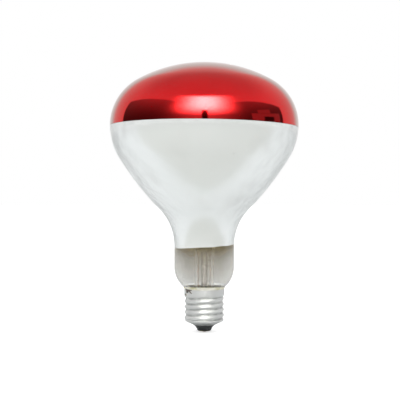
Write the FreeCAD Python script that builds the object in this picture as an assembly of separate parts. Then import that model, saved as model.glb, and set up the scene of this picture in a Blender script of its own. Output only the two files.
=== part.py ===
"""Infrared reflector heat lamp with a screw cap, cap down.

All sizes are in millimetres. The origin is on the lamp's axis at the tip of its centre contact, +Z runs up to
the crown of the dome, and the front is -Y.
"""

import FreeCAD
import Part

import os
from math import acos, asin, atan2, cos, degrees, hypot, pi, radians, sin, sqrt, tan

from FreeCAD import Vector

# Whole lamp
lamp_length = 178.2
lamp_diameter = 125.0
glass_wall = 1.0
red_coat_thickness = 0.1
mirror_thickness = 0.1
mirror_seat_gap = 0.05

# Outline of the blown bulb, from the crown down
crown_radius = 91.7
shoulder_radius = 34.0
belly_radius = 40.5
cone_radius = 202.0
cone_foot_angle = 44.1
neck_fillet_radius = 34.9
neck_diameter = 39.8
neck_foot_radius = 17.0

# Edges of the coats, as heights and small tilts seen from the front
red_edge_below_widest = 1.1
red_edge_tilt = 0.7
mirror_edge_below_neck_top = 0.2
mirror_edge_tilt = 3.2

# Screw cap
cap_height = 28.6
collar_diameter = 26.7
collar_height = 4.2
shell_wall = 0.3
shell_join_tolerance = 0.001
thread_diameter = 26.4
thread_root_diameter = 24.4
thread_pitch = 25.4 / 7
thread_round_radius = 1.025
thread_runout = 1.3
thread_end_runout = 0.5
first_crest_height = 10.3
shell_foot_diameter = 25.8
shell_foot_radius = 1.0
shell_foot_slope = 25.0
shell_lip_diameter = 15.7

# Black glass insulator and the centre contact
insulator_height = 4.05
insulator_tip_diameter = 9.2
insulator_hollow = 0.55
insulator_floor = 4.4
insulator_rim_width = 1.2
contact_diameter = 7.8
contact_thickness = 0.3
eyelet_bore = 1.2
eyelet_wall = 0.3
eyelet_length = 2.5
centre_solder_height = 0.6
centre_solder_diameter = 4.0
centre_solder_flat = 2.4
centre_solder_plug = 1.2
centre_solder_bulge = 0.1

# Cement and the side solder
cement_gap = 0.75
cement_depth = 4.0
cement_bead_height = 0.9
cement_bead_bulge = 0.12
solder_direction = 220.0
solder_drop = 1.7
solder_width = 8.0
solder_height = 5.0
solder_proud = 0.9
solder_drop_radius = 1.2
# The solder's drops: across and up as shares of its half width and half height, and radius as a share
solder_drops = [
    (0.0, 0.0, 1.0),
    (-0.15, 0.5, 0.95),
    (0.15, -0.5, 0.85),
    (-0.45, 0.75, 0.6),
    (-0.75, 0.8, 0.5),
    (0.45, 0.15, 0.65),
    (0.75, 0.1, 0.45),
    (0.5, -0.55, 0.5),
]

# Stem: flare tube, press, exhaust tube
seal_diameter = 17.0
flare_diameter = 13.0
flare_top_height = 56.0
flare_top_round = 2.2
press_width = 11.4
press_thickness = 4.6
press_root = 3.0
press_edge_share = 0.45
press_rise = 9.5
exhaust_diameter = 4.4
exhaust_bore = 2.6
exhaust_hole_rise = 2.5
exhaust_hole_diameter = 2.2
exhaust_tip_height = 17.0
exhaust_tip_length = 4.0

# Wires
lead_spacing = 7.8
outer_lead_diameter = 0.4
seal_wire_diameter = 0.5
inner_lead_diameter = 0.9
lead_splice_depth = 1.5
lead_bend_radius = 1.4
lead_turn_height = 25.4
lead_gather_height = 14.0

# Filament and its mount
filament_height = 85.6
filament_ring_diameter = 22.0
filament_diameter = 1.2
filament_gap_angle = 60.0
inner_lead_bend_height = 70.0
inner_lead_hook = 3.7
arbor_diameter = 3.0
button_diameter = 5.0
button_below_filament = 5.0
support_count = 5
support_wire_diameter = 0.4
support_clearance = 0.05
support_root_offset = 1.25

# Places that follow from the sizes above
axis_up = Vector(0, 0, 1)
origin = Vector(0, 0, 0)
neck_radius = neck_diameter / 2
glass_radius = lamp_diameter / 2 - red_coat_thickness
dome_drop = sqrt((crown_radius - shoulder_radius) ** 2 - (glass_radius - shoulder_radius) ** 2)
crown_height = lamp_length - red_coat_thickness
crown_centre_height = crown_height - crown_radius
widest_height = crown_centre_height + dome_drop
collar_radius = collar_diameter / 2
collar_foot_height = cap_height - collar_height
insulator_tip_height = centre_solder_height + contact_thickness
shell_lip_height = insulator_tip_height + insulator_height
foot_slope = radians(shell_foot_slope)
foot_radius = shell_foot_diameter / 2
foot_bend_radius = foot_radius - shell_foot_radius * (1 - cos(pi / 2 - foot_slope))
foot_bend_height = shell_lip_height + (foot_bend_radius - shell_lip_diameter / 2) * tan(foot_slope)
thread_foot_height = foot_bend_height + shell_foot_radius * sin(pi / 2 - foot_slope)
foot_centre_radius = neck_radius - neck_foot_radius
rim_angle = acos((collar_radius - shell_wall - cement_gap - foot_centre_radius) / neck_foot_radius)
neck_foot_height = cap_height + neck_foot_radius * sin(rim_angle)
seal_angle = acos((seal_diameter / 2 - foot_centre_radius) / neck_foot_radius)
press_foot_height = flare_top_height - press_root
press_top_height = flare_top_height + press_rise
lead_offset = lead_spacing / 2
filament_ring_radius = filament_ring_diameter / 2
button_height = filament_height - button_below_filament


def point(radius, height):
    """A point of a section, in the XZ plane."""
    return Vector(radius, 0, height)


def arc_by_angles(centre_radius, centre_height, radius, first, last):
    """A section's arc, from one angle to another in radians, counted from the outward direction upwards."""
    middle = (first + last) / 2
    spots = [
        point(centre_radius + radius * cos(a), centre_height + radius * sin(a)) for a in (first, middle, last)
    ]
    return Part.Arc(*spots).toShape()


def start_of(edge):
    return edge.valueAt(edge.FirstParameter)


def end_of(edge):
    return edge.valueAt(edge.LastParameter)


def line(first, last):
    return Part.makeLine(first, last)


def revolved(edges):
    """The solid that a closed section sweeps around the lamp's axis."""
    face = Part.Face(Part.Wire(edges))
    return face.revolve(origin, axis_up, 360)


def revolved_outline(corners):
    """The solid of a section with straight sides."""
    return revolved(Part.makePolygon(list(corners) + [corners[0]]).Edges)


def cylinder(radius, foot, top):
    return Part.makeCylinder(radius, top - foot, point(0, foot))


def bulb_angles():
    """The slopes, from vertical, where the belly's arc meets the cone's and where the cone's meets the fillet."""
    cone_foot = radians(cone_foot_angle)
    inward = glass_radius - neck_radius - belly_radius
    inward += cone_radius * cos(cone_foot) - neck_fillet_radius * (1 - cos(cone_foot))
    belly_end = acos(inward / (cone_radius - belly_radius))
    return belly_end, cone_foot


def bulb_outline(inset):
    """The arcs of the bulb's outline from the crown to the seal, moved inwards by a wall's share.

    Every arc is tangent to its neighbours, so that a parallel outline has the same centres.
    """
    belly_end, cone_foot = bulb_angles()
    shoulder_centre = glass_radius - shoulder_radius
    shoulder_top = atan2(dome_drop, shoulder_centre)
    belly_centre = glass_radius - belly_radius
    cone_centre_radius = belly_centre - (cone_radius - belly_radius) * cos(belly_end)
    cone_centre_height = widest_height + (cone_radius - belly_radius) * sin(belly_end)
    fillet_centre_radius = neck_radius + neck_fillet_radius
    fillet_centre_height = cone_centre_height - (cone_radius + neck_fillet_radius) * sin(cone_foot)
    crown = arc_by_angles(0, crown_centre_height, crown_radius - inset, pi / 2, shoulder_top)
    shoulder = arc_by_angles(shoulder_centre, widest_height, shoulder_radius - inset, shoulder_top, 0)
    belly = arc_by_angles(belly_centre, widest_height, belly_radius - inset, 0, -belly_end)
    cone = arc_by_angles(cone_centre_radius, cone_centre_height, cone_radius - inset, -belly_end, -cone_foot)
    fillet = arc_by_angles(
        fillet_centre_radius, fillet_centre_height, neck_fillet_radius + inset, pi - cone_foot, pi
    )
    foot = arc_by_angles(foot_centre_radius, neck_foot_height, neck_foot_radius - inset, 0, -seal_angle)
    neck = line(end_of(fillet), start_of(foot))
    return [crown, shoulder, belly, cone, fillet, neck, foot]


def neck_top_height():
    """The height where the cone's fillet ends in the straight neck."""
    return end_of(bulb_outline(0)[4]).z


def bulb_skin(outer_inset, inner_inset):
    """The closed shell between two parallel outlines of the bulb."""
    outer = bulb_outline(outer_inset)
    inner = bulb_outline(inner_inset)
    crown_line = line(start_of(inner[0]), start_of(outer[0]))
    seal_line = line(end_of(outer[-1]), end_of(inner[-1]))
    return revolved(outer + [seal_line] + inner[::-1] + [crown_line])


def below_tilted_plane(height, tilt):
    """A large block under a plane through the axis at that height, whose right side is higher for a tilt > 0."""
    reach = 2 * lamp_diameter
    block = Part.makeBox(2 * reach, 2 * reach, reach, Vector(-reach, -reach, -reach))
    block.rotate(origin, Vector(0, -1, 0), tilt)
    block.translate(point(0, height))
    return block


def glass_bulb():
    return bulb_skin(0, glass_wall)


def red_coating():
    """The coat on the outside of the dome, down to just under the widest ring."""
    coat = bulb_skin(-red_coat_thickness, 0)
    return coat.cut(below_tilted_plane(widest_height - red_edge_below_widest, -red_edge_tilt))


def reflector_coating():
    """The mirror inside the cone, from the red coat's edge down to the top of the neck."""
    seat = glass_wall + mirror_seat_gap
    mirror = bulb_skin(seat, seat + mirror_thickness)
    lower = below_tilted_plane(neck_top_height() - mirror_edge_below_neck_top, mirror_edge_tilt)
    upper = below_tilted_plane(widest_height - red_edge_below_widest, -red_edge_tilt)
    return mirror.common(upper).cut(lower)


def stem_flare():
    """The flare tube, turned up from its weld with the bulb's foot, and the flat press that closes its top."""
    seal_centre = point(foot_centre_radius, neck_foot_height)
    seal_way = Vector(cos(seal_angle), 0, -sin(seal_angle))
    flare_radius = flare_diameter / 2
    weld_inner = seal_centre + seal_way * (neck_foot_radius - glass_wall)
    turn_radius = (weld_inner.x - flare_radius) / (1 + cos(seal_angle))
    turn_centre = weld_inner - seal_way * turn_radius
    sides = []
    for inset in (0, glass_wall):
        radius = flare_radius - inset
        top_round = flare_top_round - inset
        turn = arc_by_angles(turn_centre.x, turn_centre.z, turn_radius + inset, -seal_angle, -pi)
        roof = arc_by_angles(
            radius - top_round, flare_top_height - flare_top_round, top_round, 0, pi / 2
        )
        wall = line(end_of(turn), start_of(roof))
        lid = line(end_of(roof), point(0, end_of(roof).z))
        sides.append([turn, wall, roof, lid])
    vacuum_side, air_side = sides
    weld = line(start_of(air_side[0]), start_of(vacuum_side[0]))
    axis_line = line(end_of(vacuum_side[-1]), end_of(air_side[-1]))
    tube = revolved(vacuum_side + [axis_line] + air_side[::-1] + [weld])
    stem = tube.fuse(press_block()).removeSplitter()
    bore = cylinder(exhaust_bore / 2, press_foot_height, flare_top_height + exhaust_hole_rise)
    hole_centre = Vector(0, -press_thickness, flare_top_height + exhaust_hole_rise)
    hole = Part.makeCylinder(exhaust_hole_diameter / 2, 2 * press_thickness, hole_centre, Vector(0, 1, 0))
    stem = stem.cut(bore).cut(hole)
    for side in (-1, 1):
        for wire in (outer_lead(side), seal_wire(side), inner_lead(side)):
            stem = stem.cut(wire)
    return stem


def press_block():
    """The flat squeezed end of the stem, with rounded narrow sides."""
    corner = Vector(-press_width / 2, -press_thickness / 2, press_foot_height)
    block = Part.makeBox(press_width, press_thickness, press_top_height - press_foot_height, corner)
    upright = [e for e in block.Edges if abs(start_of(e).z - end_of(e).z) > press_root]
    return block.makeFillet(press_thickness * press_edge_share, upright)


def exhaust_tube():
    """The tube under the press, melted shut at its tip inside the cap."""
    outer, bore = exhaust_diameter / 2, exhaust_bore / 2
    wall = outer - bore
    shoulder = exhaust_tip_height + exhaust_tip_length
    return revolved_outline(
        [
            point(0, exhaust_tip_height),
            point(wall, exhaust_tip_height),
            point(outer, shoulder),
            point(outer, press_foot_height),
            point(bore, press_foot_height),
            point(bore, shoulder),
            point(0, exhaust_tip_height + 2 * wall),
        ]
    )


def bent_wire(spots, diameter, bend_radius):
    """A round wire along straight runs, joined by tangent arcs."""
    edges = []
    last = spots[0]
    for before, corner, after in zip(spots, spots[1:], spots[2:]):
        way_in = (corner - before).normalize()
        way_out = (after - corner).normalize()
        turn = way_in.getAngle(way_out)
        setback = bend_radius * tan(turn / 2)
        arc_start = corner - way_in * setback
        arc_end = corner + way_out * setback
        inward = (way_out - way_in).normalize()
        arc_middle = corner + inward * (bend_radius / cos(turn / 2) - bend_radius)
        edges.append(line(last, arc_start))
        edges.append(Part.Arc(arc_start, arc_middle, arc_end).toShape())
        last = arc_end
    edges.append(line(last, spots[-1]))
    path = Part.Wire(edges)
    section = Part.Wire(Part.makeCircle(diameter / 2, spots[0], spots[1] - spots[0]))
    return path.makePipeShell([section], True, False)


def solder_way():
    """The direction from the axis to the side solder."""
    return Vector(cos(radians(solder_direction)), sin(radians(solder_direction)), 0)


def outer_lead(side):
    """The wire from the press to a contact: the left one to the collar's rim, the right one to the tip."""
    upright = Vector(side * lead_offset, 0, 0)
    start = upright + point(0, press_foot_height + lead_splice_depth)
    if side < 0:
        wall_spot = solder_way() * (collar_radius - shell_wall - cement_gap / 2)
        spots = [
            start,
            upright + point(0, lead_turn_height + lead_bend_radius),
            wall_spot + point(0, lead_turn_height),
            wall_spot + point(0, cap_height),
        ]
    else:
        end_height = centre_solder_height / 2
        spots = [
            start,
            upright + point(0, lead_gather_height),
            point(0, lead_gather_height - lead_offset),
            point(0, end_height),
        ]
    return bent_wire(spots, outer_lead_diameter, lead_bend_radius)


def seal_wire(side):
    """The short wire inside the press, between an outer lead and an inner one."""
    foot = Vector(side * lead_offset, 0, press_foot_height + lead_splice_depth)
    top = press_top_height - lead_splice_depth
    return Part.makeCylinder(seal_wire_diameter / 2, top - foot.z, foot)


def ring_way(angle):
    """The direction of a place on the filament's ring, in degrees from the front, to the right."""
    return Vector(sin(radians(angle)), -cos(radians(angle)), 0)


def inner_lead(side):
    """The stiff wire from the press to one end of the filament."""
    upright = Vector(side * lead_offset, 0, 0)
    end_angle = filament_gap_angle / 2 - degrees(inner_lead_diameter / 2 / filament_ring_radius)
    top = ring_way(side * end_angle) * filament_ring_radius
    spots = [
        upright + point(0, press_top_height - lead_splice_depth),
        upright + point(0, inner_lead_bend_height),
        top + point(0, filament_height - inner_lead_hook),
        top + point(0, filament_height + filament_diameter),
    ]
    return bent_wire(spots, inner_lead_diameter, lead_bend_radius)


def arbor():
    """The glass rod on the press, and the round button that the support wires are melted into."""
    rod = cylinder(arbor_diameter / 2, press_top_height, button_height)
    button = Part.makeSphere(button_diameter / 2, point(0, button_height))
    stem = rod.fuse(button).removeSplitter()
    for place in range(support_count):
        stem = stem.cut(filament_support(place))
    return stem


def support_angle(place):
    """Where a support stands on the ring, in degrees from the front."""
    span = 360 - filament_gap_angle
    return filament_gap_angle / 2 + span * (place + 1) / (support_count + 1)


def filament_support(place):
    """A wire from the button out to a loop around the filament."""
    way = ring_way(support_angle(place))
    along = way.cross(axis_up)
    wire_radius = support_wire_diameter / 2
    loop_radius = filament_diameter / 2 + support_clearance + wire_radius
    loop_centre = way * filament_ring_radius + point(0, filament_height)
    loop = Part.makeTorus(loop_radius, wire_radius, loop_centre, along)
    root = way * support_root_offset + point(0, button_height)
    run = (loop_centre - root).normalize()
    tip = loop_centre - run * loop_radius
    wire = Part.makeCylinder(wire_radius, (tip - root).Length, root, run)
    return wire.fuse(loop).removeSplitter()


def filament():
    """The coiled wire as a closed ring with a gap, thick as the coil."""
    start = ring_way(filament_gap_angle / 2)
    centre = start * filament_ring_radius + point(0, filament_height)
    along = axis_up.cross(start)
    section = Part.Face(Part.Wire(Part.makeCircle(filament_diameter / 2, centre, along)))
    return section.revolve(point(0, filament_height), axis_up, 360 - filament_gap_angle)


def thread_wave(turns):
    """The thread's height, 0 in the root and 1 on the crest, at a number of turns from a crest.

    Crest and root are equal arcs, and a straight flank touches both.
    """
    depth = (thread_diameter - thread_root_diameter) / 2
    half_pitch = thread_pitch / 2
    round_radius = thread_round_radius
    away = abs(turns - round(turns)) * thread_pitch
    centre_rise = 2 * round_radius - depth
    flank = asin(2 * round_radius / hypot(half_pitch, centre_rise)) - atan2(centre_rise, half_pitch)
    arc_reach = round_radius * sin(flank)
    if away < arc_reach:
        drop = round_radius - sqrt(round_radius**2 - away**2)
    elif away > half_pitch - arc_reach:
        drop = depth - round_radius + sqrt(round_radius**2 - (half_pitch - away) ** 2)
    else:
        drop = round_radius * (1 - cos(flank)) + (away - arc_reach) * tan(flank)
    return 1 - drop / depth


def eased(share):
    """A share from 0 to 1 that starts and ends level."""
    share = min(max(share, 0), 1)
    return share * share * (3 - 2 * share)


def thread_radius(angle, height):
    """The shell's outer radius in its thread, which runs out into the collar above and the foot below."""
    crest_radius, root_radius = thread_diameter / 2, thread_root_diameter / 2
    turns = (height - first_crest_height) / thread_pitch - (angle + pi / 2) / (2 * pi)
    radius = root_radius + (crest_radius - root_radius) * thread_wave(turns)
    to_collar = eased(1 - (collar_foot_height - height) / thread_runout)
    to_foot = eased(1 - (height - thread_foot_height) / thread_end_runout)
    radius += (collar_radius - radius) * to_collar
    return radius + (foot_radius - radius) * to_foot


def threaded_wall(inset):
    """The threaded surface of the shell, from its rounded foot up to the collar.

    It is a smooth surface over a grid of poles that closes around the axis. Such a surface runs a little inside
    its poles, so they stand out by the share that puts its rings at their radius.
    """
    around = 40
    rows_in_a_turn = 16
    span = collar_foot_height - thread_foot_height
    rows = round(span / thread_pitch * rows_in_a_turn)
    swell = 3 / (2 + cos(2 * pi / around))
    poles = []
    for step in range(around):
        angle = 2 * pi * (step - 1) / around
        heights = [thread_foot_height + span * row / rows for row in range(rows + 1)]
        radii = [(thread_radius(angle, height) - inset) * swell for height in heights]
        poles.append([Vector(r * cos(angle), r * sin(angle), height) for r, height in zip(radii, heights)])
    knot_uses_around = [1] * (around + 1)
    knot_uses_up = [4] + [1] * (rows - 3) + [4]
    knots_around, knots_up = list(range(around + 1)), list(range(rows - 1))
    surface = Part.BSplineSurface()
    surface.buildFromPolesMultsKnots(
        poles, knot_uses_around, knot_uses_up, knots_around, knots_up, True, False, 3, 3
    )
    return surface.toShape()


def threaded_sleeve():
    """The rolled sheet between the outer and the inner threaded surface, closed by a flat ring at each end."""
    walls = [threaded_wall(0), threaded_wall(shell_wall)]
    ends = []
    for wall in walls:
        rings = [Part.Wire(edge) for edge in wall.Edges if edge.isClosed()]
        ends.append(sorted(rings, key=lambda ring: ring.BoundBox.ZMin))
    lids = [Part.makeFace([outer, inner], "Part::FaceMakerBullseye") for outer, inner in zip(*ends)]
    skin = Part.makeCompound(walls + lids)
    skin.sewShape()
    return Part.Solid(skin.Shells[0])


def foot_section(inset):
    """The edges of the shell's rounded foot, from its lip up to the thread."""
    lip_radius = shell_lip_diameter / 2
    cone_way = Vector(cos(foot_slope), 0, sin(foot_slope))
    inward = Vector(-sin(foot_slope), 0, cos(foot_slope))
    lip = point(lip_radius, shell_lip_height) + inward * inset
    bend = arc_by_angles(
        foot_radius - shell_foot_radius,
        thread_foot_height,
        shell_foot_radius - inset,
        foot_slope - pi / 2,
        0,
    )
    return [line(lip, start_of(bend)), bend]


def collar_ring():
    """The plain wall above the thread."""
    outer = cylinder(collar_radius, collar_foot_height, cap_height)
    return outer.cut(cylinder(collar_radius - shell_wall, collar_foot_height, cap_height))


def screw_shell():
    """The shell rolled from thin sheet: plain collar, round thread and a foot drawn in to a lip."""
    outer, inner = foot_section(0), foot_section(shell_wall)
    lip_edge = line(start_of(inner[0]), start_of(outer[0]))
    top_edge = line(end_of(outer[-1]), end_of(inner[-1]))
    foot = revolved(outer + [top_edge] + inner[::-1] + [lip_edge])
    return collar_ring().fuse([threaded_sleeve(), foot], shell_join_tolerance)


def insulator():
    """The black glass body, poured into the shell's foot around the contact's eyelet."""
    bore = eyelet_bore / 2 + eyelet_wall
    tip_radius = insulator_tip_diameter / 2
    seat = foot_section(shell_wall)
    lip = point(shell_lip_diameter / 2, shell_lip_height)
    tip = point(tip_radius, insulator_tip_height)
    chord = (lip - tip).normalize()
    hollow = (lip + tip) * 0.5 + Vector(-chord.z, 0, chord.x) * insulator_hollow
    side = Part.Arc(tip, hollow, lip).toShape()
    rim_top = end_of(seat[-1])
    floor_height = insulator_tip_height + insulator_floor
    rim_inner = point(rim_top.x - insulator_rim_width, rim_top.z)
    well = point(tip_radius, floor_height)
    corners = [rim_top, rim_inner, well, point(bore, floor_height), point(bore, insulator_tip_height), tip]
    edges = [side, line(lip, start_of(seat[0]))] + seat
    edges += [line(a, b) for a, b in zip(corners, corners[1:])]
    return revolved(edges)


def centre_contact():
    """The contact disc under the insulator, with the eyelet that the centre wire comes through."""
    bore = eyelet_bore / 2
    top = insulator_tip_height
    return revolved_outline(
        [
            point(bore, centre_solder_height),
            point(contact_diameter / 2, centre_solder_height),
            point(contact_diameter / 2, top),
            point(bore + eyelet_wall, top),
            point(bore + eyelet_wall, top + eyelet_length),
            point(bore, top + eyelet_length),
        ]
    )


def centre_solder():
    """The solder button on the disc, pressed flat at its tip, with its plug in the eyelet."""
    flat = point(centre_solder_flat / 2, 0)
    edge = point(centre_solder_diameter / 2, centre_solder_height)
    bulge = (flat + edge) * 0.5 + Vector(1, 0, -1).normalize() * centre_solder_bulge
    side = Part.Arc(flat, bulge, edge).toShape()
    bore = eyelet_bore / 2
    plug_top = centre_solder_height + centre_solder_plug
    corners = [edge, point(bore, centre_solder_height), point(bore, plug_top), point(0, plug_top), origin, flat]
    edges = [side] + [line(a, b) for a, b in zip(corners, corners[1:])]
    return revolved(edges).cut(outer_lead(1))


def solder_bead(across, rise, size):
    """One round drop of the side solder on the collar, sunk so that the largest stands out as far as named."""
    radius = size * solder_drop_radius
    sunk = size * (solder_drop_radius - solder_proud)
    height = cap_height - solder_drop + rise * solder_height / 2
    bead = Part.makeSphere(radius, point(collar_radius - sunk, height))
    bead.rotate(origin, axis_up, solder_direction + degrees(across * solder_width / 2 / collar_radius))
    return bead


def side_solder():
    """The uneven solder that ran down the collar from the side wire's end at its rim."""
    beads = [solder_bead(*drop) for drop in solder_drops]
    solder = beads[0].fuse(beads[1:]).removeSplitter()
    return solder.cut(cylinder(collar_radius, 0, cap_height)).cut(glass_bulb())


def basing_cement(solder):
    """The cement between the collar and the glass, with the bead that shows above the rim."""
    inner_angle = (rim_angle + seal_angle) / 2
    bead_rise = neck_foot_height - cap_height - cement_bead_height
    bead_angle = asin(bead_rise / neck_foot_radius)
    glass_side = arc_by_angles(
        foot_centre_radius, neck_foot_height, neck_foot_radius, -bead_angle, -inner_angle
    )
    bead_top, glass_end = start_of(glass_side), end_of(glass_side)
    rim_edge = point(collar_radius, cap_height)
    chord = (bead_top - rim_edge).normalize()
    middle = (bead_top + rim_edge) * 0.5 + Vector(chord.z, 0, -chord.x) * cement_bead_bulge
    bead = Part.Arc(rim_edge, middle, bead_top).toShape()
    wall = collar_radius - shell_wall
    floor = cap_height - cement_depth
    corners = [glass_end, point(glass_end.x, floor), point(wall, floor), point(wall, cap_height), rim_edge]
    edges = [bead, glass_side] + [line(a, b) for a, b in zip(corners, corners[1:])]
    return revolved(edges).cut(outer_lead(-1)).cut(solder)


def all_parts():
    """Every piece of the lamp, by its node's name."""
    solder = side_solder()
    pieces = {
        "glass_bulb": glass_bulb(),
        "red_coating": red_coating(),
        "reflector_coating": reflector_coating(),
        "stem_flare": stem_flare(),
        "exhaust_tube": exhaust_tube(),
        "arbor": arbor(),
        "filament": filament(),
        "outer_lead_side": outer_lead(-1),
        "outer_lead_centre": outer_lead(1),
        "screw_shell": screw_shell(),
        "insulator": insulator(),
        "centre_contact": centre_contact(),
        "centre_solder": centre_solder(),
        "side_solder": solder,
        "basing_cement": basing_cement(solder),
    }
    for number, side in enumerate((-1, 1), start=1):
        pieces[f"seal_wire_{number}"] = seal_wire(side)
        pieces[f"inner_lead_{number}"] = inner_lead(side)
    for place in range(support_count):
        pieces[f"filament_support_{place + 1}"] = filament_support(place)
    return pieces


os.makedirs("parts", exist_ok=True)
for name, shape in all_parts().items():
    solids = shape.Solids
    print(name, shape.isValid(), len(solids), round(shape.Volume, 3))
    body = solids[0] if len(solids) == 1 else shape
    body.exportStep(f"parts/{name}.step")
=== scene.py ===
"""Looks of the infrared heat lamp bulb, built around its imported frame.

Metres, in the part's frame: the origin is at the tip of the centre contact, +Z runs up to the crown of the
dome and the front is -Y. The sections follow the lamp as it is put together.
"""

from math import acos, cos, pi, radians, sin, sqrt, tan

import bmesh
import bpy
from mathutils import Matrix, Vector, noise


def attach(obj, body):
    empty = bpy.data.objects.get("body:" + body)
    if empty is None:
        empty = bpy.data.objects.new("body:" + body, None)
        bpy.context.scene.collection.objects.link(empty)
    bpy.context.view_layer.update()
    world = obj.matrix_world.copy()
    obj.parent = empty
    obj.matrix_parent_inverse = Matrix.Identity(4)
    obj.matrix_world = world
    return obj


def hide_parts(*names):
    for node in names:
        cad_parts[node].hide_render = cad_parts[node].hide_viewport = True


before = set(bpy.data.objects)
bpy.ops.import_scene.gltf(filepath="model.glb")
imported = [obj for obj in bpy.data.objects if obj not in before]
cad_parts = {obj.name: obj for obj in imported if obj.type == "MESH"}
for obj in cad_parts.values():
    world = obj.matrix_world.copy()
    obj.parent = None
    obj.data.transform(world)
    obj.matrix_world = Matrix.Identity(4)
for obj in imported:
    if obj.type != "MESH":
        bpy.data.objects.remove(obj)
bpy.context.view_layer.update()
mm = 0.001


# Stem: the flare tube with its flat press, the exhaust tube down its middle and the arbor rod above it, drawn
# from clear soft glass. The press was squeezed shut in a flame around the wires, so it is a little wavy, and
# olive where it is thick. The exhaust tube was heated and pulled, so it ripples.
stem_tint = (0.975, 0.965, 0.955, 1)
stem_thick_tint = (0.86, 0.84, 0.72, 1)
stem_ior = 1.65
press_foot = 52 * mm
press_shoulder = 55 * mm
stem_wave_size = 260
stem_wave_depth = 0.00008
exhaust_wave_size = 260
exhaust_wave_depth = 0.001


def put(tree, kind, values=None, **settings):
    """A new node with its settings. A value that is another node's socket is linked."""
    made = tree.nodes.new(kind)
    for name, value in settings.items():
        setattr(made, name, value)
    for name, value in (values or {}).items():
        if isinstance(value, bpy.types.NodeSocket):
            tree.links.new(value, made.inputs[name])
        else:
            made.inputs[name].default_value = value
    return made


def work_out(tree, operation, first, second=0.0):
    """The result of a math node on two numbers or sockets."""
    return put(tree, "ShaderNodeMath", {0: first, 1: second}, operation=operation).outputs[0]


def times(tree, first, second):
    """One number or socket times another."""
    return work_out(tree, "MULTIPLY", first, second)


def from_to(tree, value, low, high, least=0.0, most=1.0):
    """A value moved smoothly from one range to another."""
    places = {"Value": value, "From Min": low, "From Max": high, "To Min": least, "To Max": most}
    return put(tree, "ShaderNodeMapRange", places, interpolation_type="SMOOTHSTEP").outputs[0]


def mixed(tree, share, first, second):
    """A colour between two colours."""
    return put(tree, "ShaderNodeMix", {0: share, 6: first, 7: second}, data_type="RGBA").outputs[2]


def object_place(tree):
    return put(tree, "ShaderNodeTexCoord").outputs["Object"]


def part_of(tree, vector, axis):
    return put(tree, "ShaderNodeSeparateXYZ", {0: vector}).outputs[axis]


def bumped(tree, shader, height, depth):
    """Gives the shader a bump of that depth in metres."""
    bump = put(tree, "ShaderNodeBump", {"Height": height, "Strength": 1.0, "Distance": depth})
    tree.links.new(bump.outputs["Normal"], shader.inputs["Normal"])


def finish_named(name, **settings):
    """A new material with one Principled shader, whose plain settings are given by their socket names."""
    material = bpy.data.materials.new(name)
    material.use_nodes = True
    tree = material.node_tree
    tree.nodes.clear()
    shader = tree.nodes.new("ShaderNodeBsdfPrincipled")
    tree.links.new(shader.outputs[0], tree.nodes.new("ShaderNodeOutputMaterial").inputs["Surface"])
    for socket, value in settings.items():
        shader.inputs[socket.replace("_", " ")].default_value = value
    return material, tree, shader


def feed(tree, shader, **sockets):
    """Links sockets to the shader's inputs by name."""
    for name, socket in sockets.items():
        tree.links.new(socket, shader.inputs[name.replace("_", " ")])


def effect_group(name, numbers):
    """An empty shader group that takes a place and named numbers, and gives a mask."""
    tree = bpy.data.node_groups.new(name, "ShaderNodeTree")
    tree.interface.new_socket("Place", in_out="INPUT", socket_type="NodeSocketVector")
    for label, value in numbers.items():
        made = tree.interface.new_socket(label, in_out="INPUT", socket_type="NodeSocketFloat")
        made.default_value = value
    tree.interface.new_socket("Mask", in_out="OUTPUT", socket_type="NodeSocketFloat")
    return tree, tree.nodes.new("NodeGroupInput").outputs, tree.nodes.new("NodeGroupOutput").inputs


def patches_group():
    """Soft cloudy patches, such as smudges, tarnish and uneven coats."""
    tree, given, result = effect_group("cloudy_patches", {"Size": 100, "Start": 0.4, "End": 0.7})
    values = {"Vector": given["Place"], "Scale": given["Size"], "Detail": 4.0}
    cloud = put(tree, "ShaderNodeTexNoise", values)
    mask = from_to(tree, cloud.outputs["Fac"], given["Start"], given["End"])
    tree.links.new(mask, result["Mask"])
    return tree


cloudy_patches = patches_group()


def effect(tree, group, place, **numbers):
    """A group's mask with this material's own numbers."""
    made = tree.nodes.new("ShaderNodeGroup")
    made.node_tree = group
    tree.links.new(place, made.inputs["Place"])
    for label, value in numbers.items():
        made.inputs[label].default_value = value
    return made.outputs["Mask"]


def stem_glass_finish(name, wave_size, wave_depth):
    """Clear drawn glass with waves of that size and depth, tinted in the press."""
    material, tree, shader = finish_named(name, Transmission_Weight=1.0, Roughness=0.02, IOR=stem_ior)
    place = object_place(tree)
    cloud = effect(tree, cloudy_patches, place, Size=wave_size, Start=0.2, End=0.8)
    in_press = from_to(tree, part_of(tree, place, "Z"), press_foot, press_shoulder)
    thick = times(tree, in_press, from_to(tree, cloud, 0, 1, 0.6, 1.0))
    feed(tree, shader, Base_Color=mixed(tree, thick, stem_tint, stem_thick_tint))
    bumped(tree, shader, cloud, wave_depth)
    return material


def dress(node, material):
    """Gives a node of the frame its finish."""
    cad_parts[node].data.materials.clear()
    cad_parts[node].data.materials.append(material)


stem_glass = stem_glass_finish("clear drawn glass", stem_wave_size, stem_wave_depth)
for name in ("stem_flare", "arbor"):
    dress(name, stem_glass)
dress("exhaust_tube", stem_glass_finish("wavy drawn glass", exhaust_wave_size, exhaust_wave_depth))


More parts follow.
